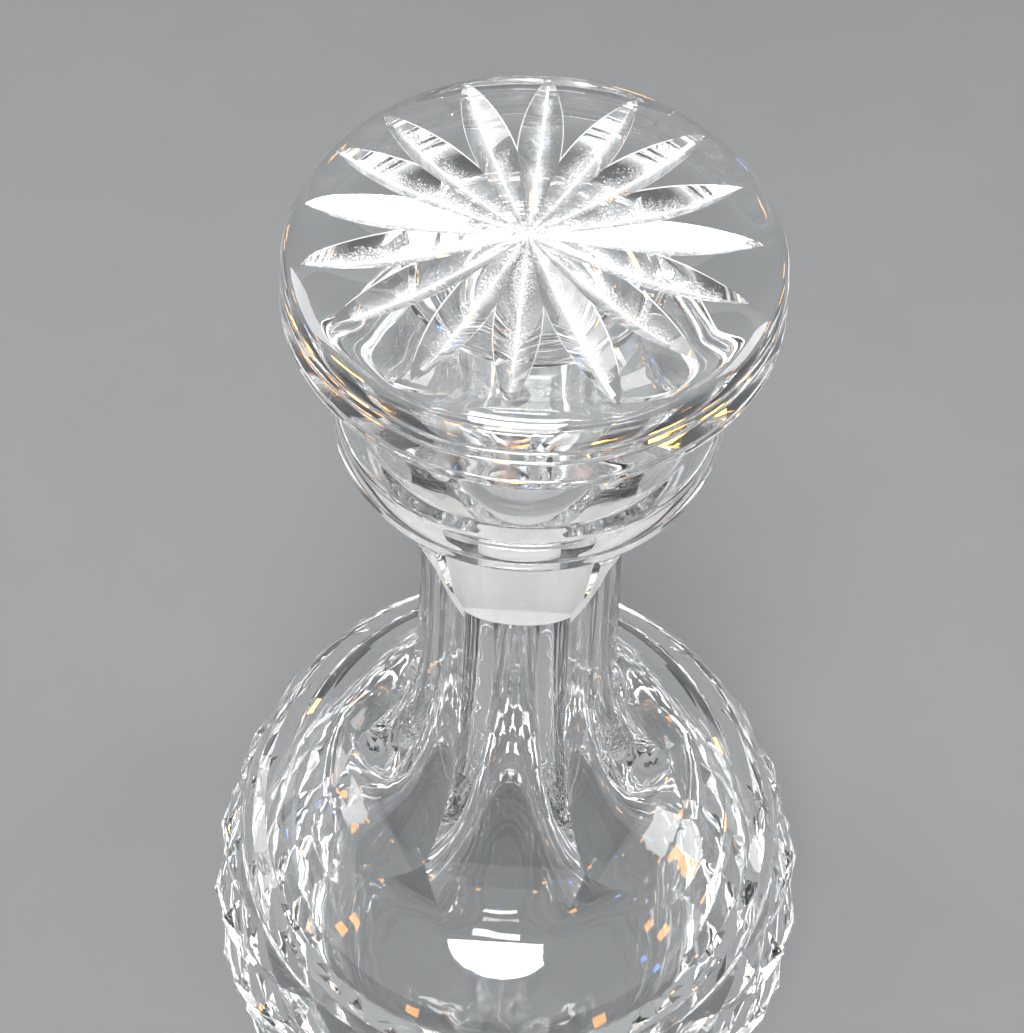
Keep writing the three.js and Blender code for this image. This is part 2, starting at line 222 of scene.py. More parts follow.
def body_radius_at(height):
    above = height - BODY_WIDEST_HEIGHT
    if above >= 0:
        rise = BODY_RISE
    else:
        rise = BODY_WIDEST_HEIGHT / math.sqrt(1 - (FOOT_RADIUS / BODY_RADIUS) ** 2)
    return BODY_RADIUS * math.sqrt(1 - (above / rise) ** 2)


def body_height_at(radius):
    return BODY_WIDEST_HEIGHT + ellipse_height(BODY_RADIUS, BODY_RISE, radius)


def body_points(low, high, steps):
    """Points up the body's outline, without the last one."""
    heights = [low + (high - low) * i / steps for i in range(steps)]
    return [(body_radius_at(h), h) for h in heights]


def slope_of_ellipse(radius, rise, at_radius):
    """Unit vector up and inwards along the ellipse."""
    along = Vector((-radius * math.sqrt(1 - (at_radius / radius) ** 2), rise * at_radius / radius))
    return along.normalized()


def shoulder_curve(radius, rise, at_radius, end, bend):
    """Control points from the ellipse's slope at a radius up into the neck."""
    start = Vector((at_radius, BODY_WIDEST_HEIGHT + ellipse_height(radius, rise, at_radius)))
    return [start, start + SHOULDER_REACH * slope_of_ellipse(radius, rise, at_radius), bend, end]


DIAMOND_TOP = body_height_at(RING_RADIUS) - RING_WIDTH / 2 - DIAMOND_START
DIAMOND_ROWS = 2 * round((DIAMOND_TOP - DIAMOND_END_HEIGHT) / DIAMOND_HEIGHT)
STEPS_PER_ROW = VESSEL_COLUMNS // (2 * DIAMOND_COLUMNS)
OFF_BAND = -1.0  # the place down the diamonds of points that lie outside their band


def vessel_outline():
    """The vessel's closed outline, from the middle of its base up the outside and down the inside,
    and the first and last places in it of the diamond band."""
    ring = body_height_at(RING_RADIUS)
    groove = (RING_RADIUS - RING_DEPTH, ring - RING_DEPTH / 2)
    groove_low = (body_radius_at(ring - RING_WIDTH / 2), ring - RING_WIDTH / 2)
    groove_high = (body_radius_at(ring + RING_WIDTH / 2), ring + RING_WIDTH / 2)
    neck = shoulder_curve(BODY_RADIUS, BODY_RISE, SHOULDER_RADIUS, (NECK_RADIUS, NECK_WAIST_HEIGHT),
                          (NECK_RADIUS + NECK_SPREAD, NECK_WAIST_HEIGHT - NECK_REACH))
    foot_end = (body_radius_at(2 * FOOT_BEVEL), 2 * FOOT_BEVEL)
    points = [(0, 0)]
    points += straight((BASE_MIDDLE, 0), (FOOT_RADIUS - 2 * FOOT_BEVEL, 0), steps=4)
    points += bent([(FOOT_RADIUS - 2 * FOOT_BEVEL, 0), (FOOT_RADIUS - FOOT_EASE, 0), foot_end], steps=9)
    points += body_points(2 * FOOT_BEVEL, DIAMOND_END_HEIGHT, steps=5)
    first = len(points)
    points += body_points(DIAMOND_END_HEIGHT, DIAMOND_TOP, steps=DIAMOND_ROWS * STEPS_PER_ROW)
    last = len(points)
    points += body_points(DIAMOND_TOP, groove_low[1], steps=4)
    points += bent([groove_low, groove, groove], steps=5)
    points += bent([groove, groove, groove_high], steps=5)
    points += body_points(groove_high[1], body_height_at(SHOULDER_RADIUS), steps=14)
    points += bent(neck, steps=34)
    band_start = (LIP_RADIUS - LIP_UNDERCUT, BAND_BOTTOM)
    widest = (LIP_RADIUS, LIP_HEIGHT - LIP_WIDEST_DROP)
    points += straight((NECK_RADIUS, NECK_WAIST_HEIGHT), band_start, steps=6)
    points += bent([band_start, (LIP_RADIUS, BAND_BOTTOM + LIP_BEVEL), widest], steps=9)
    rim = LIP_RADIUS - LIP_DRAFT
    inner = rim - LIP_RIM_WIDTH
    bevel = 2 * LIP_BEVEL
    points += straight(widest, (rim, LIP_HEIGHT - bevel), steps=4)
    points += bent([(rim, LIP_HEIGHT - bevel), (rim, LIP_HEIGHT), (rim - bevel, LIP_HEIGHT)], steps=8)
    points += straight((rim - bevel, LIP_HEIGHT), (inner + bevel, LIP_HEIGHT), steps=3)
    points += bent([(inner + bevel, LIP_HEIGHT), (inner, LIP_HEIGHT), (inner, LIP_HEIGHT - bevel)], steps=8)
    points += bent([(inner, LIP_HEIGHT - bevel),
                    (inner - MOUTH_FULLNESS, SEAT_TOP + MOUTH_BEND_SHARE * MOUTH_DEPTH),
                    (SEAT_RADIUS, SEAT_TOP)], steps=20)
    points += straight((SEAT_RADIUS, SEAT_TOP), (SEAT_END_RADIUS, SEAT_BOTTOM), steps=6)
    cavity_radius = BODY_RADIUS - BODY_WALL
    cavity_rise = BODY_RISE - BODY_WALL
    start_height = BODY_WIDEST_HEIGHT + ellipse_height(cavity_radius, cavity_rise, CAVITY_SHOULDER_RADIUS)
    bend_height = start_height + (SEAT_BOTTOM - start_height) * CAVITY_NECK_SHARE
    bore = shoulder_curve(cavity_radius, cavity_rise, CAVITY_SHOULDER_RADIUS,
                          (SEAT_END_RADIUS, SEAT_BOTTOM), (SEAT_END_RADIUS, bend_height))
    points += bent(list(reversed(bore)), steps=28)
    # The cavity's wall: down to the body's widest height, then down to the floor
    drop = BODY_WIDEST_HEIGHT - FLOOR_THICKNESS + CAVITY_CORNER
    shoulder_angle = math.acos(CAVITY_SHOULDER_RADIUS / cavity_radius)
    floor_angle = math.asin((drop - CAVITY_CORNER - FLOOR_ROUNDING) / drop)
    upper_steps, lower_steps = 20, 16
    for i in range(upper_steps):
        angle = shoulder_angle * (1 - i / upper_steps)
        points.append((cavity_radius * math.cos(angle), BODY_WIDEST_HEIGHT + cavity_rise * math.sin(angle)))
    for i in range(lower_steps):
        angle = floor_angle * i / lower_steps
        points.append((cavity_radius * math.cos(angle), BODY_WIDEST_HEIGHT - drop * math.sin(angle)))
    floor_radius = cavity_radius * math.cos(floor_angle)
    flat_radius = floor_radius - FLOOR_REACH * FLOOR_ROUNDING
    points += bent([(floor_radius, FLOOR_THICKNESS + FLOOR_ROUNDING),
                    (floor_radius - FLOOR_BEND * FLOOR_ROUNDING, FLOOR_THICKNESS),
                    (flat_radius, FLOOR_THICKNESS)], steps=10)
    points += straight((flat_radius, FLOOR_THICKNESS), (FLOOR_MIDDLE, FLOOR_THICKNESS), steps=4)
    points.append((FLOOR_MIDDLE, FLOOR_THICKNESS))
    points.append((0, FLOOR_THICKNESS))
    return points, first, last


def stopper_outline():
    """The stopper's closed outline, from the middle of its plug's end up to the middle of its top."""
    plug_length = SEAT_DEPTH - SEAT_CLEARANCE
    plug_bottom = SEAT_TOP - plug_length
    plug_end = PLUG_RADIUS - SEAT_TAPER * plug_length
    collar_top = HEAD_BOTTOM - STEM_COLLAR_DROP
    points = [(0, plug_bottom)]
    points += straight((PLUG_MIDDLE, plug_bottom), (plug_end - PLUG_END_BEVEL, plug_bottom), steps=2)
    points += bent([(plug_end - PLUG_END_BEVEL, plug_bottom), (plug_end, plug_bottom),
                    (plug_end, plug_bottom + PLUG_END_BEVEL)], steps=6)
    points += straight((plug_end, plug_bottom + PLUG_END_BEVEL), (PLUG_RADIUS, SEAT_TOP), steps=6)
    points += bent([(PLUG_RADIUS, SEAT_TOP), (PLUG_RADIUS, SEAT_TOP + STEM_NECKING / 2),
                    (STEM_RADIUS, SEAT_TOP + STEM_NECKING)], steps=5)
    points += straight((STEM_RADIUS, SEAT_TOP + STEM_NECKING),
                       (STEM_RADIUS, collar_top - STEM_FILLET), steps=6)
    fillet_steps = 10
    for i in range(fillet_steps):
        angle = math.radians(90 * i / fillet_steps)
        points.append((STEM_RADIUS + STEM_FILLET * (1 - math.cos(angle)),
                       collar_top - STEM_FILLET * (1 - math.sin(angle))))
    collar_end = (STEM_COLLAR_RADIUS + STEM_COLLAR_DROP, HEAD_BOTTOM)
    points += bent([(STEM_RADIUS + STEM_FILLET, collar_top), (STEM_COLLAR_RADIUS, collar_top),
                    (STEM_COLLAR_RADIUS + STEM_COLLAR_ROUNDING, HEAD_BOTTOM - STEM_COLLAR_ROUNDING),
                    collar_end], steps=7)
    side_low = HEAD_BOTTOM + 2 * HEAD_EDGE_BEVEL
    side_high = HEAD_TOP - HEAD_SHOULDER_DROP
    edge_start = (HEAD_RADIUS - 2 * HEAD_EDGE_BEVEL, HEAD_BOTTOM)
    points += straight(collar_end, edge_start, steps=4)
    points += bent([edge_start, (HEAD_RADIUS, HEAD_BOTTOM), (HEAD_RADIUS, side_low)], steps=8)
    for i in range(HEAD_SIDE_STEPS):
        share = i / HEAD_SIDE_STEPS
        height = side_low + (side_high - side_low) * i / HEAD_SIDE_STEPS
        line = sum(math.exp(-((HEAD_TOP - drop - height) / HEAD_LINE_WIDTH) ** 2)
                   for drop in HEAD_LINE_DROPS)
        points.append((HEAD_RADIUS - HEAD_DRAFT * share - HEAD_LINE_DEPTH * line, height))
    points += bent([(HEAD_SHOULDER_RADIUS, side_high), (HEAD_SHOULDER_RADIUS - HEAD_FULLNESS, HEAD_TOP),
                    (HEAD_FLAT_RADIUS, HEAD_TOP)], steps=16)
    innermost = (HEAD_FLAT_RADIUS - HEAD_MIDDLE_MARGIN, HEAD_TOP)
    points += straight((HEAD_FLAT_RADIUS, HEAD_TOP), innermost, steps=2)
    points += [innermost, (0, HEAD_TOP)]
    return points


def revolved(name, outline, columns, turn, band=(0, 0)):
    """A closed solid of revolution. In the rows of the band, points know their place across and down the
    diamonds, and the faces' diagonals follow the grooves."""
    mesh = bpy.data.meshes.new(name)
    first, last = band
    vertices = [(0, 0, outline[0][1] * MM)]
    across = [0.0]
    down = [OFF_BAND]
    for row, (radius, height) in enumerate(outline[1:-1], 1):
        for column in range(columns):
            angle = turn + column * 2 * math.pi / columns
            vertices.append((radius * MM * math.cos(angle), radius * MM * math.sin(angle), height * MM))
            across.append(column * 2 * DIAMOND_COLUMNS / columns)
            down.append((row - first) / STEPS_PER_ROW if first <= row <= last else OFF_BAND)
    vertices.append((0, 0, outline[-1][1] * MM))
    across.append(0.0)
    down.append(OFF_BAND)
    rings = len(outline) - 2
    faces = []
    top = len(vertices) - 1
    for column in range(columns):
        after = (column + 1) % columns
        faces.append((0, 1 + after, 1 + column))
        faces.append((top, 1 + (rings - 1) * columns + column, 1 + (rings - 1) * columns + after))
    for ring in range(rings - 1):
        for column in range(columns):
            after = (column + 1) % columns
            a = 1 + ring * columns + column
            b = 1 + ring * columns + after
            c = b + columns
            d = a + columns
            if first <= ring + 1 < last:
                cell = (ring + 1 - first) // STEPS_PER_ROW + column // (columns // (2 * DIAMOND_COLUMNS))
                faces += [(a, b, d), (b, c, d)] if cell % 2 == 0 else [(a, b, c), (a, c, d)]
            else:
                faces.append((a, b, c, d))
    mesh.from_pydata(vertices, [], faces)
    for attribute, values in (("across", across), ("down", down)):
        mesh.attributes.new(attribute, "FLOAT", "POINT").data.foreach_set("value", values)
    made = bpy.data.objects.new(name, mesh)
    bpy.context.scene.collection.objects.link(made)
    return made


def prism(name, outline, width):
    """A solid with this outline, in the plane of X and Z, that reaches half the width to each side."""
    mesh = bpy.data.meshes.new(name)
    count = len(outline)
    vertices = [(x * MM, side * width / 2 * MM, z * MM) for side in (-1, 1) for x, z in outline]
    faces = [tuple(range(count)), tuple(reversed(range(count, 2 * count)))]
    for i in range(count):
        after = (i + 1) % count
        faces.append((i, i + count, after + count, after))
    mesh.from_pydata(vertices, [], faces)
    return outward(name, mesh)


def outward(name, mesh):
    """An object with this mesh, whose faces are made to point outwards."""
    work = bmesh.new()
    work.from_mesh(mesh)
    bmesh.ops.recalc_face_normals(work, faces=work.faces)
    if work.calc_volume(signed=True) < 0:
        bmesh.ops.reverse_faces(work, faces=work.faces)
    work.to_mesh(mesh)
    work.free()
    made = bpy.data.objects.new(name, mesh)
    bpy.context.scene.collection.objects.link(made)
    return made


def panel_cutter():
    """What a wheel takes off for one long panel of the neck, from the lip down to the shoulder."""
    tip = Vector((PANEL_TIP_RADIUS, body_height_at(PANEL_TIP_RADIUS)))
    leaving = Vector((math.cos(math.radians(PANEL_TIP_ANGLE)), math.sin(math.radians(PANEL_TIP_ANGLE))))
    bend = (PANEL_APOTHEM + PANEL_SPREAD, tip.y + (NECK_WAIST_HEIGHT - tip.y) * PANEL_BEND_SHARE)
    outside = PANEL_TIP_RADIUS + PANEL_RUN_OUT
    outline = [(outside, BAND_BOTTOM), (LIP_RADIUS - LIP_PANEL_INSET, BAND_BOTTOM)]
    outline += bent([(PANEL_APOTHEM, NECK_WAIST_HEIGHT), bend, tip - PANEL_TIP_REACH * leaving, tip],
                    steps=48)
    outline += [tuple(tip), tuple(tip + PANEL_RUN_OUT * leaving), (outside, tip.y)]
    return prism("panel_cutter", outline, 2 * PANEL_TIP_RADIUS)


def ray_depth(reach):
    """How deep a ray is cut this far from the star's middle."""
    if reach < RAY_WIDEST:
        return RAY_CENTRE_DEPTH + (RAY_DEPTH - RAY_CENTRE_DEPTH) * (1 - (1 - max(reach, 0) / RAY_WIDEST) ** 2)
    return RAY_DEPTH * (1 - ((reach - RAY_WIDEST) / (RAY_LENGTH - RAY_WIDEST)) ** 2)


def ray_cutter():
    """What a mitre wheel takes off for one ray: a groove with two flat sides, from the middle to its tip."""
    spread = 1 / math.tan(math.radians(RAY_SLOPE))
    reaches = [RAY_START] + [RAY_LENGTH * i / RAY_STEPS for i in range(1, RAY_STEPS + 1)]
    mesh = bpy.data.meshes.new("ray_cutter")
    vertices = []
    for reach in reaches:
        depth = ray_depth(reach)
        side = spread * (depth + CUT_OVERSHOOT)
        vertices += [(reach * MM, 0, -depth * MM), (reach * MM, side * MM, CUT_OVERSHOOT * MM),
                     (reach * MM, -side * MM, CUT_OVERSHOOT * MM)]
    end = 3 * RAY_STEPS
    faces = [(0, 1, 2), (end, end + 2, end + 1)]
    for i in range(RAY_STEPS):
        a = 3 * i
        for p, q in ((0, 1), (1, 2), (2, 0)):
            faces.append((a + p, a + q, a + q + 3, a + p + 3))
    mesh.from_pydata(vertices, [], faces)
    return outward("ray_cutter", mesh)


def new_tree(name, sockets):
    """An empty geometry tree with named inputs, and the nodes at its two ends."""
    tree = bpy.data.node_groups.new(name, "GeometryNodeTree")
    tree.interface.new_socket("Geometry", in_out="INPUT", socket_type="NodeSocketGeometry")
    for socket, kind in sockets.items():
        tree.interface.new_socket(socket, in_out="INPUT", socket_type=kind)
    tree.interface.new_socket("Geometry", in_out="OUTPUT", socket_type="NodeSocketGeometry")
    return tree, add(tree, "NodeGroupInput").outputs


def end_tree(tree, geometry, material):
    """Realizes what the tree made, smooths it, gives it its material and sends it out."""
    whole = add(tree, "GeometryNodeRealizeInstances", {"Geometry": geometry}).outputs[0]
    smooth = add(tree, "GeometryNodeSetShadeSmooth", {"Geometry": whole}).outputs[0]
    shown = add(tree, "GeometryNodeSetMaterial", {"Geometry": smooth, "Material": material}).outputs[0]
    add(tree, "NodeGroupOutput", {"Geometry": shown})


def vessel_tree():
    """Sinks the diamonds' grooves into the body, then cuts the neck's panels."""
    tree, given = new_tree("cut_vessel", {
        "Groove Depth": "NodeSocketFloat",
        "Diamond Rows": "NodeSocketFloat",
        "Panel Count": "NodeSocketInt",
        "Panel Turn": "NodeSocketFloat",
        "Panel Cutter": "NodeSocketObject",
        "Crystal": "NodeSocketMaterial",
    })
    across = add(tree, "GeometryNodeInputNamedAttribute", {"Name": "across"}, data_type="FLOAT").outputs[0]
    down = add(tree, "GeometryNodeInputNamedAttribute", {"Name": "down"}, data_type="FLOAT").outputs[0]
    maths = maths_in(tree)

    # Grooves run both ways across the grid of half diamonds, and each diamond rises between them to a point
    rising = maths("PINGPONG", maths("MULTIPLY", maths("ADD", across, down), 0.5), 0.5)
    falling = maths("PINGPONG", maths("MULTIPLY", maths("SUBTRACT", across, down), 0.5), 0.5)
    full = maths("MULTIPLY", maths("MAXIMUM", rising, falling), 2.0)
    # In the first and the last row the grooves run out to nothing
    from_end = maths("MINIMUM", down, maths("SUBTRACT", given["Diamond Rows"], down))
    fading = maths("MAXIMUM", maths("SUBTRACT", 1.0, from_end), 0.0)
    missing = maths("MINIMUM", maths("PINGPONG", across, 1.0), fading)
    depth = maths("MULTIPLY", maths("SUBTRACT", full, missing), given["Groove Depth"])
    in_band = maths("GREATER_THAN", down, OFF_BAND / 2)
    place = add(tree, "GeometryNodeInputPosition").outputs[0]
    level = add(tree, "ShaderNodeVectorMath", {0: place, 1: (1, 1, 0)}, operation="MULTIPLY").outputs[0]
    outwards = add(tree, "ShaderNodeVectorMath", {0: level}, operation="NORMALIZE").outputs[0]
    inwards = maths("MULTIPLY", depth, -1.0)
    sunk = add(tree, "ShaderNodeVectorMath", {0: outwards, "Scale": inwards}, operation="SCALE").outputs[0]
    cut = add(tree, "GeometryNodeSetPosition", {
        "Geometry": given["Geometry"], "Selection": in_band, "Offset": sunk}).outputs[0]

    points = add(tree, "GeometryNodePoints", {"Count": given["Panel Count"]}).outputs[0]
    number = add(tree, "GeometryNodeInputIndex").outputs[0]
    step = maths("DIVIDE", 2 * math.pi, given["Panel Count"])
    turn = maths("ADD", given["Panel Turn"], maths("MULTIPLY", number, step))
    cutter = add(tree, "GeometryNodeObjectInfo", {"Object": given["Panel Cutter"]}).outputs["Geometry"]
    cutters = add(tree, "GeometryNodeInstanceOnPoints", {
        "Points": points, "Instance": cutter,
        "Rotation": add(tree, "ShaderNodeCombineXYZ", {"Z": turn}).outputs[0]}).outputs[0]
    panelled = add(tree, "GeometryNodeMeshBoolean", {"Mesh 1": cut, "Mesh 2": cutters},
                   operation="DIFFERENCE", solver="MANIFOLD").outputs[0]
    end_tree(tree, panelled, given["Crystal"])
    return tree


def stopper_tree():
    """Cuts the star: a ray at each point, turned and stretched as the point says."""
    tree, given = new_tree("cut_star", {
        "Rays": "NodeSocketObject",
        "Ray Cutter": "NodeSocketObject",
        "Length Wander": "NodeSocketFloat",
        "Seed": "NodeSocketInt",
        "Crystal": "NodeSocketMaterial",
    })
    rays = add(tree, "GeometryNodeObjectInfo", {"Object": given["Rays"]}).outputs["Geometry"]
    azimuth = add(tree, "GeometryNodeInputNamedAttribute", {"Name": "azimuth"}, data_type="FLOAT").outputs[0]
    wander = add(tree, "ShaderNodeMath", {0: given["Length Wander"], 1: 1.0}, operation="ADD").outputs[0]
    least = add(tree, "ShaderNodeMath", {0: 1.0, 1: given["Length Wander"]}, operation="SUBTRACT").outputs[0]
    reach = add(tree, "FunctionNodeRandomValue", {2: least, 3: wander, "Seed": given["Seed"]},
                data_type="FLOAT").outputs[1]
    cutter = add(tree, "GeometryNodeObjectInfo", {"Object": given["Ray Cutter"]}).outputs["Geometry"]
    cutters = add(tree, "GeometryNodeInstanceOnPoints", {
        "Points": rays, "Instance": cutter,
        "Rotation": add(tree, "ShaderNodeCombineXYZ", {"Z": azimuth}).outputs[0],
        "Scale": add(tree, "ShaderNodeCombineXYZ", {"X": reach, "Y": 1.0, "Z": 1.0}).outputs[0],
    }).outputs[0]
    starred = add(tree, "GeometryNodeMeshBoolean", {"Mesh 1": given["Geometry"], "Mesh 2": cutters},
                  operation="DIFFERENCE", solver="MANIFOLD").outputs[0]
    end_tree(tree, starred, given["Crystal"])
    return tree


def made_by(blank, tree, values, helpers):
    """The blank as the tree changes it, as a plain mesh. The blank and its helpers are removed."""
    change = blank.modifiers.new("cut", "NODES")
    change.node_group = tree
    for item in tree.interface.items_tree:
        if item.in_out == "INPUT" and item.name in values:
            change[item.identifier] = values[item.name]
    scene_state = bpy.context.evaluated_depsgraph_get()
    mesh = bpy.data.meshes.new_from_object(blank.evaluated_get(scene_state), depsgraph=scene_state)
    blank.modifiers.clear()
    for item in [blank, *helpers]:
        bpy.data.objects.remove(item)
    return mesh


def finished(name, mesh, body, node, material):
    """A piece with this mesh, merged and creased, that rides on a body in place of a CAD node."""
    work = bmesh.new()
    work.from_mesh(mesh)
    bmesh.ops.remove_doubles(work, verts=work.verts, dist=MERGE_DISTANCE)
    bmesh.ops.triangulate(work, faces=[f for f in work.faces if len(f.verts) > 4])
    work.to_mesh(mesh)
    work.free()
    mesh.name = name
    for attribute in ("across", "down"):
        if attribute in mesh.attributes:
            mesh.attributes.remove(mesh.attributes[attribute])
    mesh.materials.clear()
    mesh.materials.append(material)
    mesh.polygons.foreach_set("use_smooth", [True] * len(mesh.polygons))
    mesh.set_sharp_from_angle(angle=math.radians(SHARP_ANGLE))
    piece = bpy.data.objects.new(name, mesh)
    bpy.context.scene.collection.objects.link(piece)
    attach(piece, body)
    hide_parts(node)
    return piece


# Materials

CRYSTAL_COLOUR = "#FCFDFD"
CRYSTAL_IOR = 1.545  # cut crystal with about a quarter of lead oxide
POLISHED_ROUGHNESS = 0.012
FROST_ROUGHNESS = 0.45  # what full frost adds to the polish
WAVE_LENGTH = 7  # of soft waves, because polished crystal is never quite flat
WAVE_HEIGHT = 0.05

# The ground seat and plug
GROUND_MARGIN = 0.4  # the grinding stops this far inside the ends of the seat
SEAT_ALLOWANCE = 0.1  # the vessel's grinding reaches this far outside the seat's widest radius
GRIT_SIZE = 0.3  # pits left by the wheel's grit
GROUND_FROST = 0.8
GRIT_FROST = 0.2  # how much more frost there is in the pits

# The star, where shares are of a ray's depth: 0 at its edges and 1 in its crease
CREASE_SHARE = 0.83
CREASE_HIGHLIGHT = 0.12  # painted highlight of the creases near the star's middle, where they meet
CREASE_HIGHLIGHT_GAIN = 0.33  # by how much it grows farther out
GROWTH_START_REACH = 2  # the creases' painted highlight and the haze grow from here to there, measured from the star's middle
GROWTH_END_REACH = 12
CREASE_END = 1.6  # a crease's painted highlight stops this far from the ray's tip
CLOUD_SIZE = 3
DUST_SIZE = 0.16  # specks of dust-like frost, as coarse as they need to be to show
DUST_BY_SHARE = 0.35
DUST_BY_CLOUD = 0.4
DUST_RANGE = (0.9, 1.15)
DUST_FROST = 0.4
HAZE_SHARE = 0.4
HAZE_FROST = 0.28
# A fine white line painted along the rays' edges as their highlight, made white with frost
EDGE_SHARE = 0.055
EDGE_HIGHLIGHT = 0.3
LEAST_SHARE = 0.004  # less than this is the head's flat, and not a ray
LEAST_DEPTH = 0.08
DEEPEST_SHARE = 1.2  # of the deepest ray: what lies deeper isn't the star

PAINT_COLOURS = ("#6A6B6C", "#6E6F70")
MOTTLE_SIZE = 40


def smooth_step(tree, value, low, high):
    """0 where the value is low, 1 where it is high, and a smooth rise between."""
    return add(tree, "ShaderNodeMapRange", {
        "Value": value, "From Min": low, "From Max": high, "To Min": 0.0, "To Max": 1.0},
        interpolation_type="SMOOTHSTEP").outputs[0]


def star_frost_and_highlights(tree, place, height):
    """What the wheel leaves in a ray after polishing: specks and a thin haze of frost that fade up its
    sides. A white line along its crease and a fine light line along its edges are painted highlights."""
    maths = maths_in(tree)
    centre = (STAR_CENTRE[0] * MM, STAR_CENTRE[1] * MM, 0)
    off = add(tree, "ShaderNodeVectorMath", {0: place, 1: centre}, operation="SUBTRACT").outputs[0]
    level = add(tree, "ShaderNodeVectorMath", {0: off, 1: (1 / MM, 1 / MM, 0)},
                operation="MULTIPLY").outputs[0]
    reach = add(tree, "ShaderNodeVectorMath", {0: level}, operation="LENGTH").outputs["Value"]
    # The crease's depth by its reach, as ray_depth gives it
    inner = maths("MAXIMUM", maths("SUBTRACT", 1.0, maths("DIVIDE", reach, RAY_WIDEST)), 0.0)
    past_widest = maths("DIVIDE", maths("SUBTRACT", reach, RAY_WIDEST), RAY_LENGTH - RAY_WIDEST)
    outer = maths("MAXIMUM", past_widest, 0.0)
    rise = maths("MULTIPLY", maths("MULTIPLY", inner, inner), RAY_DEPTH - RAY_CENTRE_DEPTH)
    middle = maths("SUBTRACT", RAY_DEPTH, rise)
    crease_depth = maths("MULTIPLY", middle, maths("SUBTRACT", 1.0, maths("MULTIPLY", outer, outer)))
    depth = maths("SUBTRACT", HEAD_TOP, maths("DIVIDE", height, MM))
    share = maths("DIVIDE", depth, maths("MAXIMUM", crease_depth, LEAST_DEPTH))

    growth = smooth_step(tree, reach, GROWTH_START_REACH, GROWTH_END_REACH)
    # A white line painted along the crease as its highlight, made white with frost
    crease = maths("MULTIPLY", smooth_step(tree, share, CREASE_SHARE, 1.0),
                   maths("ADD", CREASE_HIGHLIGHT, maths("MULTIPLY", growth, CREASE_HIGHLIGHT_GAIN)))
    clouds = add(tree, "ShaderNodeTexNoise", {
        "Vector": place, "Scale": 1 / (CLOUD_SIZE * MM), "Detail": 2.0}).outputs[0]
    dust = add(tree, "ShaderNodeTexNoise", {
        "Vector": place, "Scale": 1 / (DUST_SIZE * MM), "Detail": 1.0}).outputs[0]
    density = maths("ADD", maths("MULTIPLY", share, DUST_BY_SHARE), maths("MULTIPLY", clouds, DUST_BY_CLOUD))
    specks = maths("MULTIPLY", smooth_step(tree, maths("ADD", dust, density), *DUST_RANGE), DUST_FROST)
    thickness = maths("MULTIPLY", clouds, maths("MULTIPLY", growth, HAZE_FROST))
    haze = maths("MULTIPLY", smooth_step(tree, share, HAZE_SHARE, 1.0), thickness)
    # The painted highlight along the rays' edges
    edge = maths("MULTIPLY", maths("LESS_THAN", share, EDGE_SHARE), EDGE_HIGHLIGHT)

    on_ray = maths("GREATER_THAN", share, LEAST_SHARE)
    on_top = maths("LESS_THAN", depth, DEEPEST_SHARE * RAY_DEPTH)
    on_flat = maths("LESS_THAN", reach, HEAD_FLAT_RADIUS + STAR_CENTRE[0])
    before_tip = maths("LESS_THAN", reach, RAY_LENGTH - CREASE_END)
    sides = maths("MULTIPLY", maths("MAXIMUM", maths("MAXIMUM", specks, haze), edge), on_flat)
    # The frost on the sides, together with the painted highlights of the creases and edges
    frost_and_highlight = maths("MAXIMUM", maths("MULTIPLY", crease, before_tip), sides)
    return maths("MULTIPLY", frost_and_highlight, maths("MULTIPLY", on_ray, on_top))


def crystal(name, ground_radius, starred):
    """Cut lead crystal, polished in acid after cutting. Its strong bend gives bright, dark-edged facets.
    The plug and its seat are ground, so they are frosted white. The star's creases and edges get white lines
    painted as highlights."""
    material = bpy.data.materials.new(name)
    material.use_nodes = True
    tree = material.node_tree
    tree.nodes.clear()
    maths = maths_in(tree)
    place = add(tree, "ShaderNodeTexCoord").outputs["Object"]
    parts = add(tree, "ShaderNodeSeparateXYZ", {"Vector": place}).outputs
    radius = maths("SQRT", maths("ADD", maths("MULTIPLY", parts["X"], parts["X"]),
                                 maths("MULTIPLY", parts["Y"], parts["Y"])))
    above = maths("GREATER_THAN", parts["Z"], (SEAT_BOTTOM + GROUND_MARGIN) * MM)
    below = maths("LESS_THAN", parts["Z"], (SEAT_TOP - GROUND_MARGIN) * MM)
    within = maths("LESS_THAN", radius, ground_radius * MM)
    ground = maths("MULTIPLY", maths("MULTIPLY", above, below), within)
    grit = add(tree, "ShaderNodeTexNoise", {
        "Vector": place, "Scale": 1 / (GRIT_SIZE * MM), "Detail": 2.0}).outputs[0]
    frost_and_highlight = maths("MULTIPLY", ground, maths("ADD", GROUND_FROST, maths("MULTIPLY", grit, GRIT_FROST)))
    if starred:
        # The star adds its frost and its painted highlights
        frost_and_highlight = maths("MAXIMUM", frost_and_highlight, star_frost_and_highlights(tree, place, parts["Z"]))
    roughness = maths("ADD", POLISHED_ROUGHNESS, maths("MULTIPLY", frost_and_highlight, FROST_ROUGHNESS))
    waves = add(tree, "ShaderNodeTexNoise", {
        "Vector": place, "Scale": 1 / (WAVE_LENGTH * MM), "Detail": 1.0}).outputs[0]
    ripple = add(tree, "ShaderNodeBump", {
        "Height": waves, "Strength": 1.0, "Distance": WAVE_HEIGHT * MM}).outputs[0]
    shader = add(tree, "ShaderNodeBsdfPrincipled", {
        "Base Color": linear(CRYSTAL_COLOUR), "IOR": CRYSTAL_IOR,
        "Transmission Weight": maths("SUBTRACT", 1.0, frost_and_highlight),
        "Roughness": roughness, "Normal": ripple}).outputs[0]
    add(tree, "ShaderNodeOutputMaterial", {"Surface": shader})
    return material


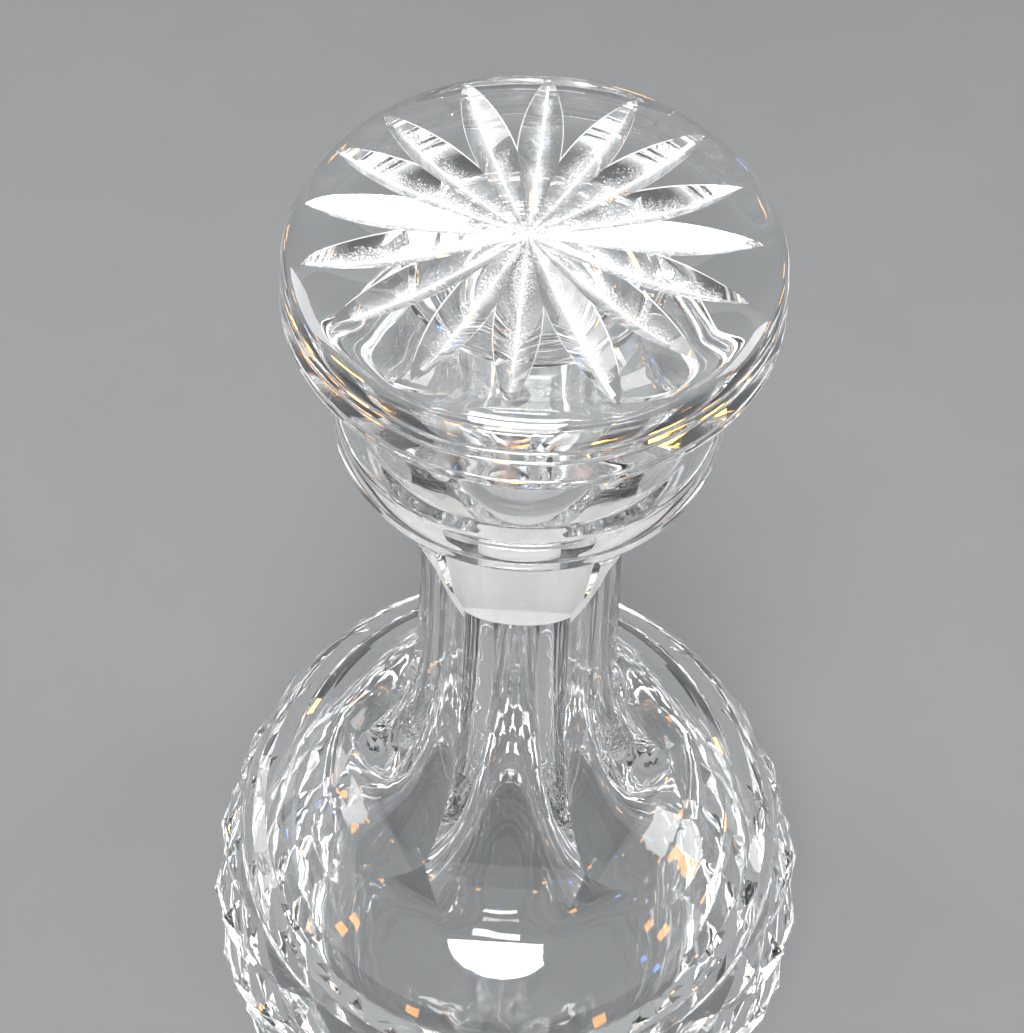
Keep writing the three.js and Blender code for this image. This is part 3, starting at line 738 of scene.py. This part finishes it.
def floor_paint():
    """Matt studio floor paint, pale in the studio's light. A faint mottle keeps it from looking like an
    empty screen."""
    material = bpy.data.materials.new("matt_studio_floor")
    material.use_nodes = True
    tree = material.node_tree
    tree.nodes.clear()
    place = add(tree, "ShaderNodeTexCoord").outputs["Object"]
    mottle = add(tree, "ShaderNodeTexNoise", {
        "Vector": place, "Scale": 1 / (MOTTLE_SIZE * MM), "Detail": 4.0}).outputs[0]
    colour = add(tree, "ShaderNodeMix", {
        "Factor": mottle, "A": linear(PAINT_COLOURS[0]), "B": linear(PAINT_COLOURS[1])}, data_type="RGBA")
    shader = add(tree, "ShaderNodeBsdfPrincipled", {
        "Base Color": colour.outputs["Result"], "Roughness": 0.9, "Specular IOR Level": 0.0}).outputs[0]
    add(tree, "ShaderNodeOutputMaterial", {"Surface": shader})
    return material


def build_vessel():
    outline, first, last = vessel_outline()
    turn = math.radians(PANEL_TURN) + math.pi / PANEL_COUNT
    blank = revolved("vessel_blank", outline, VESSEL_COLUMNS, turn, (first, last))
    cutter = panel_cutter()
    material = crystal("lead_crystal_vessel", SEAT_RADIUS + SEAT_ALLOWANCE, False)
    mesh = made_by(blank, vessel_tree(), {
        "Groove Depth": DIAMOND_DEPTH * MM, "Diamond Rows": float(DIAMOND_ROWS), "Panel Count": PANEL_COUNT,
        "Panel Turn": math.radians(PANEL_TURN), "Panel Cutter": cutter, "Crystal": material}, [cutter])
    return finished("decanter_vessel", mesh, "vessel", "vessel", material)


def build_stopper():
    blank = revolved("stopper_blank", stopper_outline(), STOPPER_COLUMNS, 0)
    cutter = ray_cutter()
    points = bpy.data.meshes.new("rays")
    centre = (STAR_CENTRE[0] * MM, STAR_CENTRE[1] * MM, HEAD_TOP * MM)
    points.from_pydata([centre] * len(RAY_AZIMUTHS), [], [])
    points.attributes.new("azimuth", "FLOAT", "POINT").data.foreach_set(
        "value", [math.radians(a) for a in RAY_AZIMUTHS])
    rays = bpy.data.objects.new("rays", points)
    bpy.context.scene.collection.objects.link(rays)
    material = crystal("lead_crystal_stopper", SEAT_RADIUS, True)
    mesh = made_by(blank, stopper_tree(), {
        "Rays": rays, "Ray Cutter": cutter, "Length Wander": RAY_WANDER, "Seed": RAY_SEED,
        "Crystal": material}, [cutter, rays])
    return finished("star_cut_stopper", mesh, "stopper", "stopper", material)


# Scene

STUDIO_FLOOR_RADIUS = 4000
STUDIO_FLOOR_GAP = 0.2  # of air under the base, which lets light through to the floor there
SKY_STRENGTH = 1.5
HORIZON_COLOUR = "#DCDEE0"
OVERHEAD_COLOUR = "#F2F4F5"
BEHIND_COLOUR = "#3A3B3D"
OVERHEAD_FROM = 0.5  # of a direction's Z, past which the sky is its overhead colour
BEHIND_RANGE = (0.25, 0.7)  # of a direction's Y, over which the sky dims

# Name, place and size in metres, power in watts and target of each softbox
LAMP_TARGET = (0, 0, 0.2)
SOFTBOXES = (
    ("star_softbox", (-0.07, -0.52, 1.35), (0.54, 0.34), 15, (0, 0, 0.25)),  # the star's two white rays
    ("rim_softbox", (-0.04, -0.75, 1.08), (0.45, 0.3), 4, LAMP_TARGET),  # the head's front edge
    ("overhead_softbox", (-0.04, -0.16, 1.35), (0.4, 0.2), 3, LAMP_TARGET),
    ("front_softbox", (-0.08, -0.9, 0.8), (0.48, 0.11), 4.5, LAMP_TARGET),  # the bar on the belly's floor
    ("left_softbox", (-0.9, 0.3, 0.7), (0.5, 0.5), 5, LAMP_TARGET),
    ("right_softbox", (0.9, 0.1, 0.6), (0.4, 0.4), 4, LAMP_TARGET),
)

# Azimuth and height in metres of each small lamp, on a circle round the decanter
LAMP_DISTANCE = 0.65
WARM_LAMPS = ((138, 0.18), (35, 0.22), (178, 0.4), (-8, 0.36), (-118, 0.14), (-60, 0.12), (80, 0.1),
              (160, 0.3), (15, 0.3), (-150, 0.2), (-30, 0.24), (115, 0.48), (57, 0.55))
COLD_LAMPS = ((-97, 0.5), (62, 0.3), (-38, 0.16), (172, 0.24))
# Places, size in metres, power in watts and colour
GLINT_LAMPS = (
    (WARM_LAMPS, (0.05, 0.035), 0.09, "#FFA940"),
    (COLD_LAMPS, (0.03, 0.02), 0.04, "#4F86FF"),
)


def place_camera():
    """The camera as the photograph's was, fitted to the decanter's circles."""
    pitch = math.radians(CAMERA_PITCH)
    roll = math.radians(CAMERA_ROLL)
    forward = Vector((0, math.cos(pitch), -math.sin(pitch)))
    level = Vector((1, 0, 0))
    rising = Vector((0, math.sin(pitch), math.cos(pitch)))
    right = math.cos(roll) * level + math.sin(roll) * rising
    up = math.cos(roll) * rising - math.sin(roll) * level
    data = bpy.data.cameras.new("camera")
    data.lens = CAMERA_LENS
    data.sensor_width = CAMERA_SENSOR
    data.clip_start = 0.01
    camera = bpy.data.objects.new("camera", data)
    camera.matrix_world = Matrix((right, up, -forward)).transposed().to_4x4()
    camera.location = Vector(CAMERA_PLACE) * MM
    bpy.context.scene.collection.objects.link(camera)
    bpy.context.scene.camera = camera


def lay_floor():
    mesh = bpy.data.meshes.new("studio_floor")
    work = bmesh.new()
    bmesh.ops.create_circle(work, cap_ends=True, radius=STUDIO_FLOOR_RADIUS * MM, segments=96)
    bmesh.ops.translate(work, verts=work.verts, vec=(0, 0, -STUDIO_FLOOR_GAP * MM))
    work.to_mesh(mesh)
    work.free()
    mesh.materials.append(floor_paint())
    floor = bpy.data.objects.new("studio_floor", mesh)
    bpy.context.scene.collection.objects.link(floor)


def soft_light(name, place, size, power, target, colour="#FFFFFF"):
    """A rectangular softbox at a place in metres, turned to its target. The camera doesn't see it."""
    data = bpy.data.lights.new(name, "AREA")
    data.shape = "RECTANGLE"
    data.size, data.size_y = size
    data.energy = power
    data.color = linear(colour)[:3]
    light = bpy.data.objects.new(name, data)
    light.location = place
    light.rotation_euler = (Vector(target) - Vector(place)).to_track_quat("-Z", "Y").to_euler()
    light.visible_camera = False
    bpy.context.scene.collection.objects.link(light)
    return light


def studio_sky():
    """Pale and even overhead, dimmer at the horizon, and dim behind the decanter."""
    world = bpy.data.worlds.new("studio")
    bpy.context.scene.world = world
    world.use_nodes = True
    tree = world.node_tree
    tree.nodes.clear()
    place = add(tree, "ShaderNodeTexCoord").outputs["Generated"]
    parts = add(tree, "ShaderNodeSeparateXYZ", {"Vector": place}).outputs
    rising = add(tree, "ShaderNodeMapRange", {
        "Value": parts["Z"], "From Min": 0.0, "From Max": OVERHEAD_FROM,
        "To Min": 0.0, "To Max": 1.0}).outputs[0]
    behind = add(tree, "ShaderNodeMapRange", {
        "Value": parts["Y"], "From Min": BEHIND_RANGE[0], "From Max": BEHIND_RANGE[1],
        "To Min": 0.0, "To Max": 1.0}).outputs[0]
    sky = add(tree, "ShaderNodeMix", {
        "Factor": rising, "A": linear(HORIZON_COLOUR), "B": linear(OVERHEAD_COLOUR)},
        data_type="RGBA").outputs["Result"]
    colour = add(tree, "ShaderNodeMix", {"Factor": behind, "A": sky, "B": linear(BEHIND_COLOUR)},
                 data_type="RGBA").outputs["Result"]
    light = add(tree, "ShaderNodeBackground", {"Color": colour, "Strength": SKY_STRENGTH}).outputs[0]
    add(tree, "ShaderNodeOutputWorld", {"Surface": light})


def light_studio():
    studio_sky()
    for softbox in SOFTBOXES:
        soft_light(*softbox)
    # Small warm and cold lamps give the amber and blue glints in the cuts. They don't tint the floor.
    for places, size, power, colour in GLINT_LAMPS:
        for azimuth, height in places:
            turn = math.radians(azimuth)
            place = (LAMP_DISTANCE * math.cos(turn), LAMP_DISTANCE * math.sin(turn), height)
            lamp = soft_light("glint_lamp", place, size, power, LAMP_TARGET, colour)
            lamp.visible_diffuse = False
    scene = bpy.context.scene
    cycles = scene.cycles
    cycles.max_bounces = 48
    cycles.transmission_bounces = 48
    cycles.glossy_bounces = 12
    cycles.diffuse_bounces = 4
    cycles.sample_clamp_indirect = 20
    cycles.use_denoising = True
    scene.view_settings.view_transform = "Standard"


place_camera()
build_vessel()
build_stopper()
lay_floor()
light_studio()
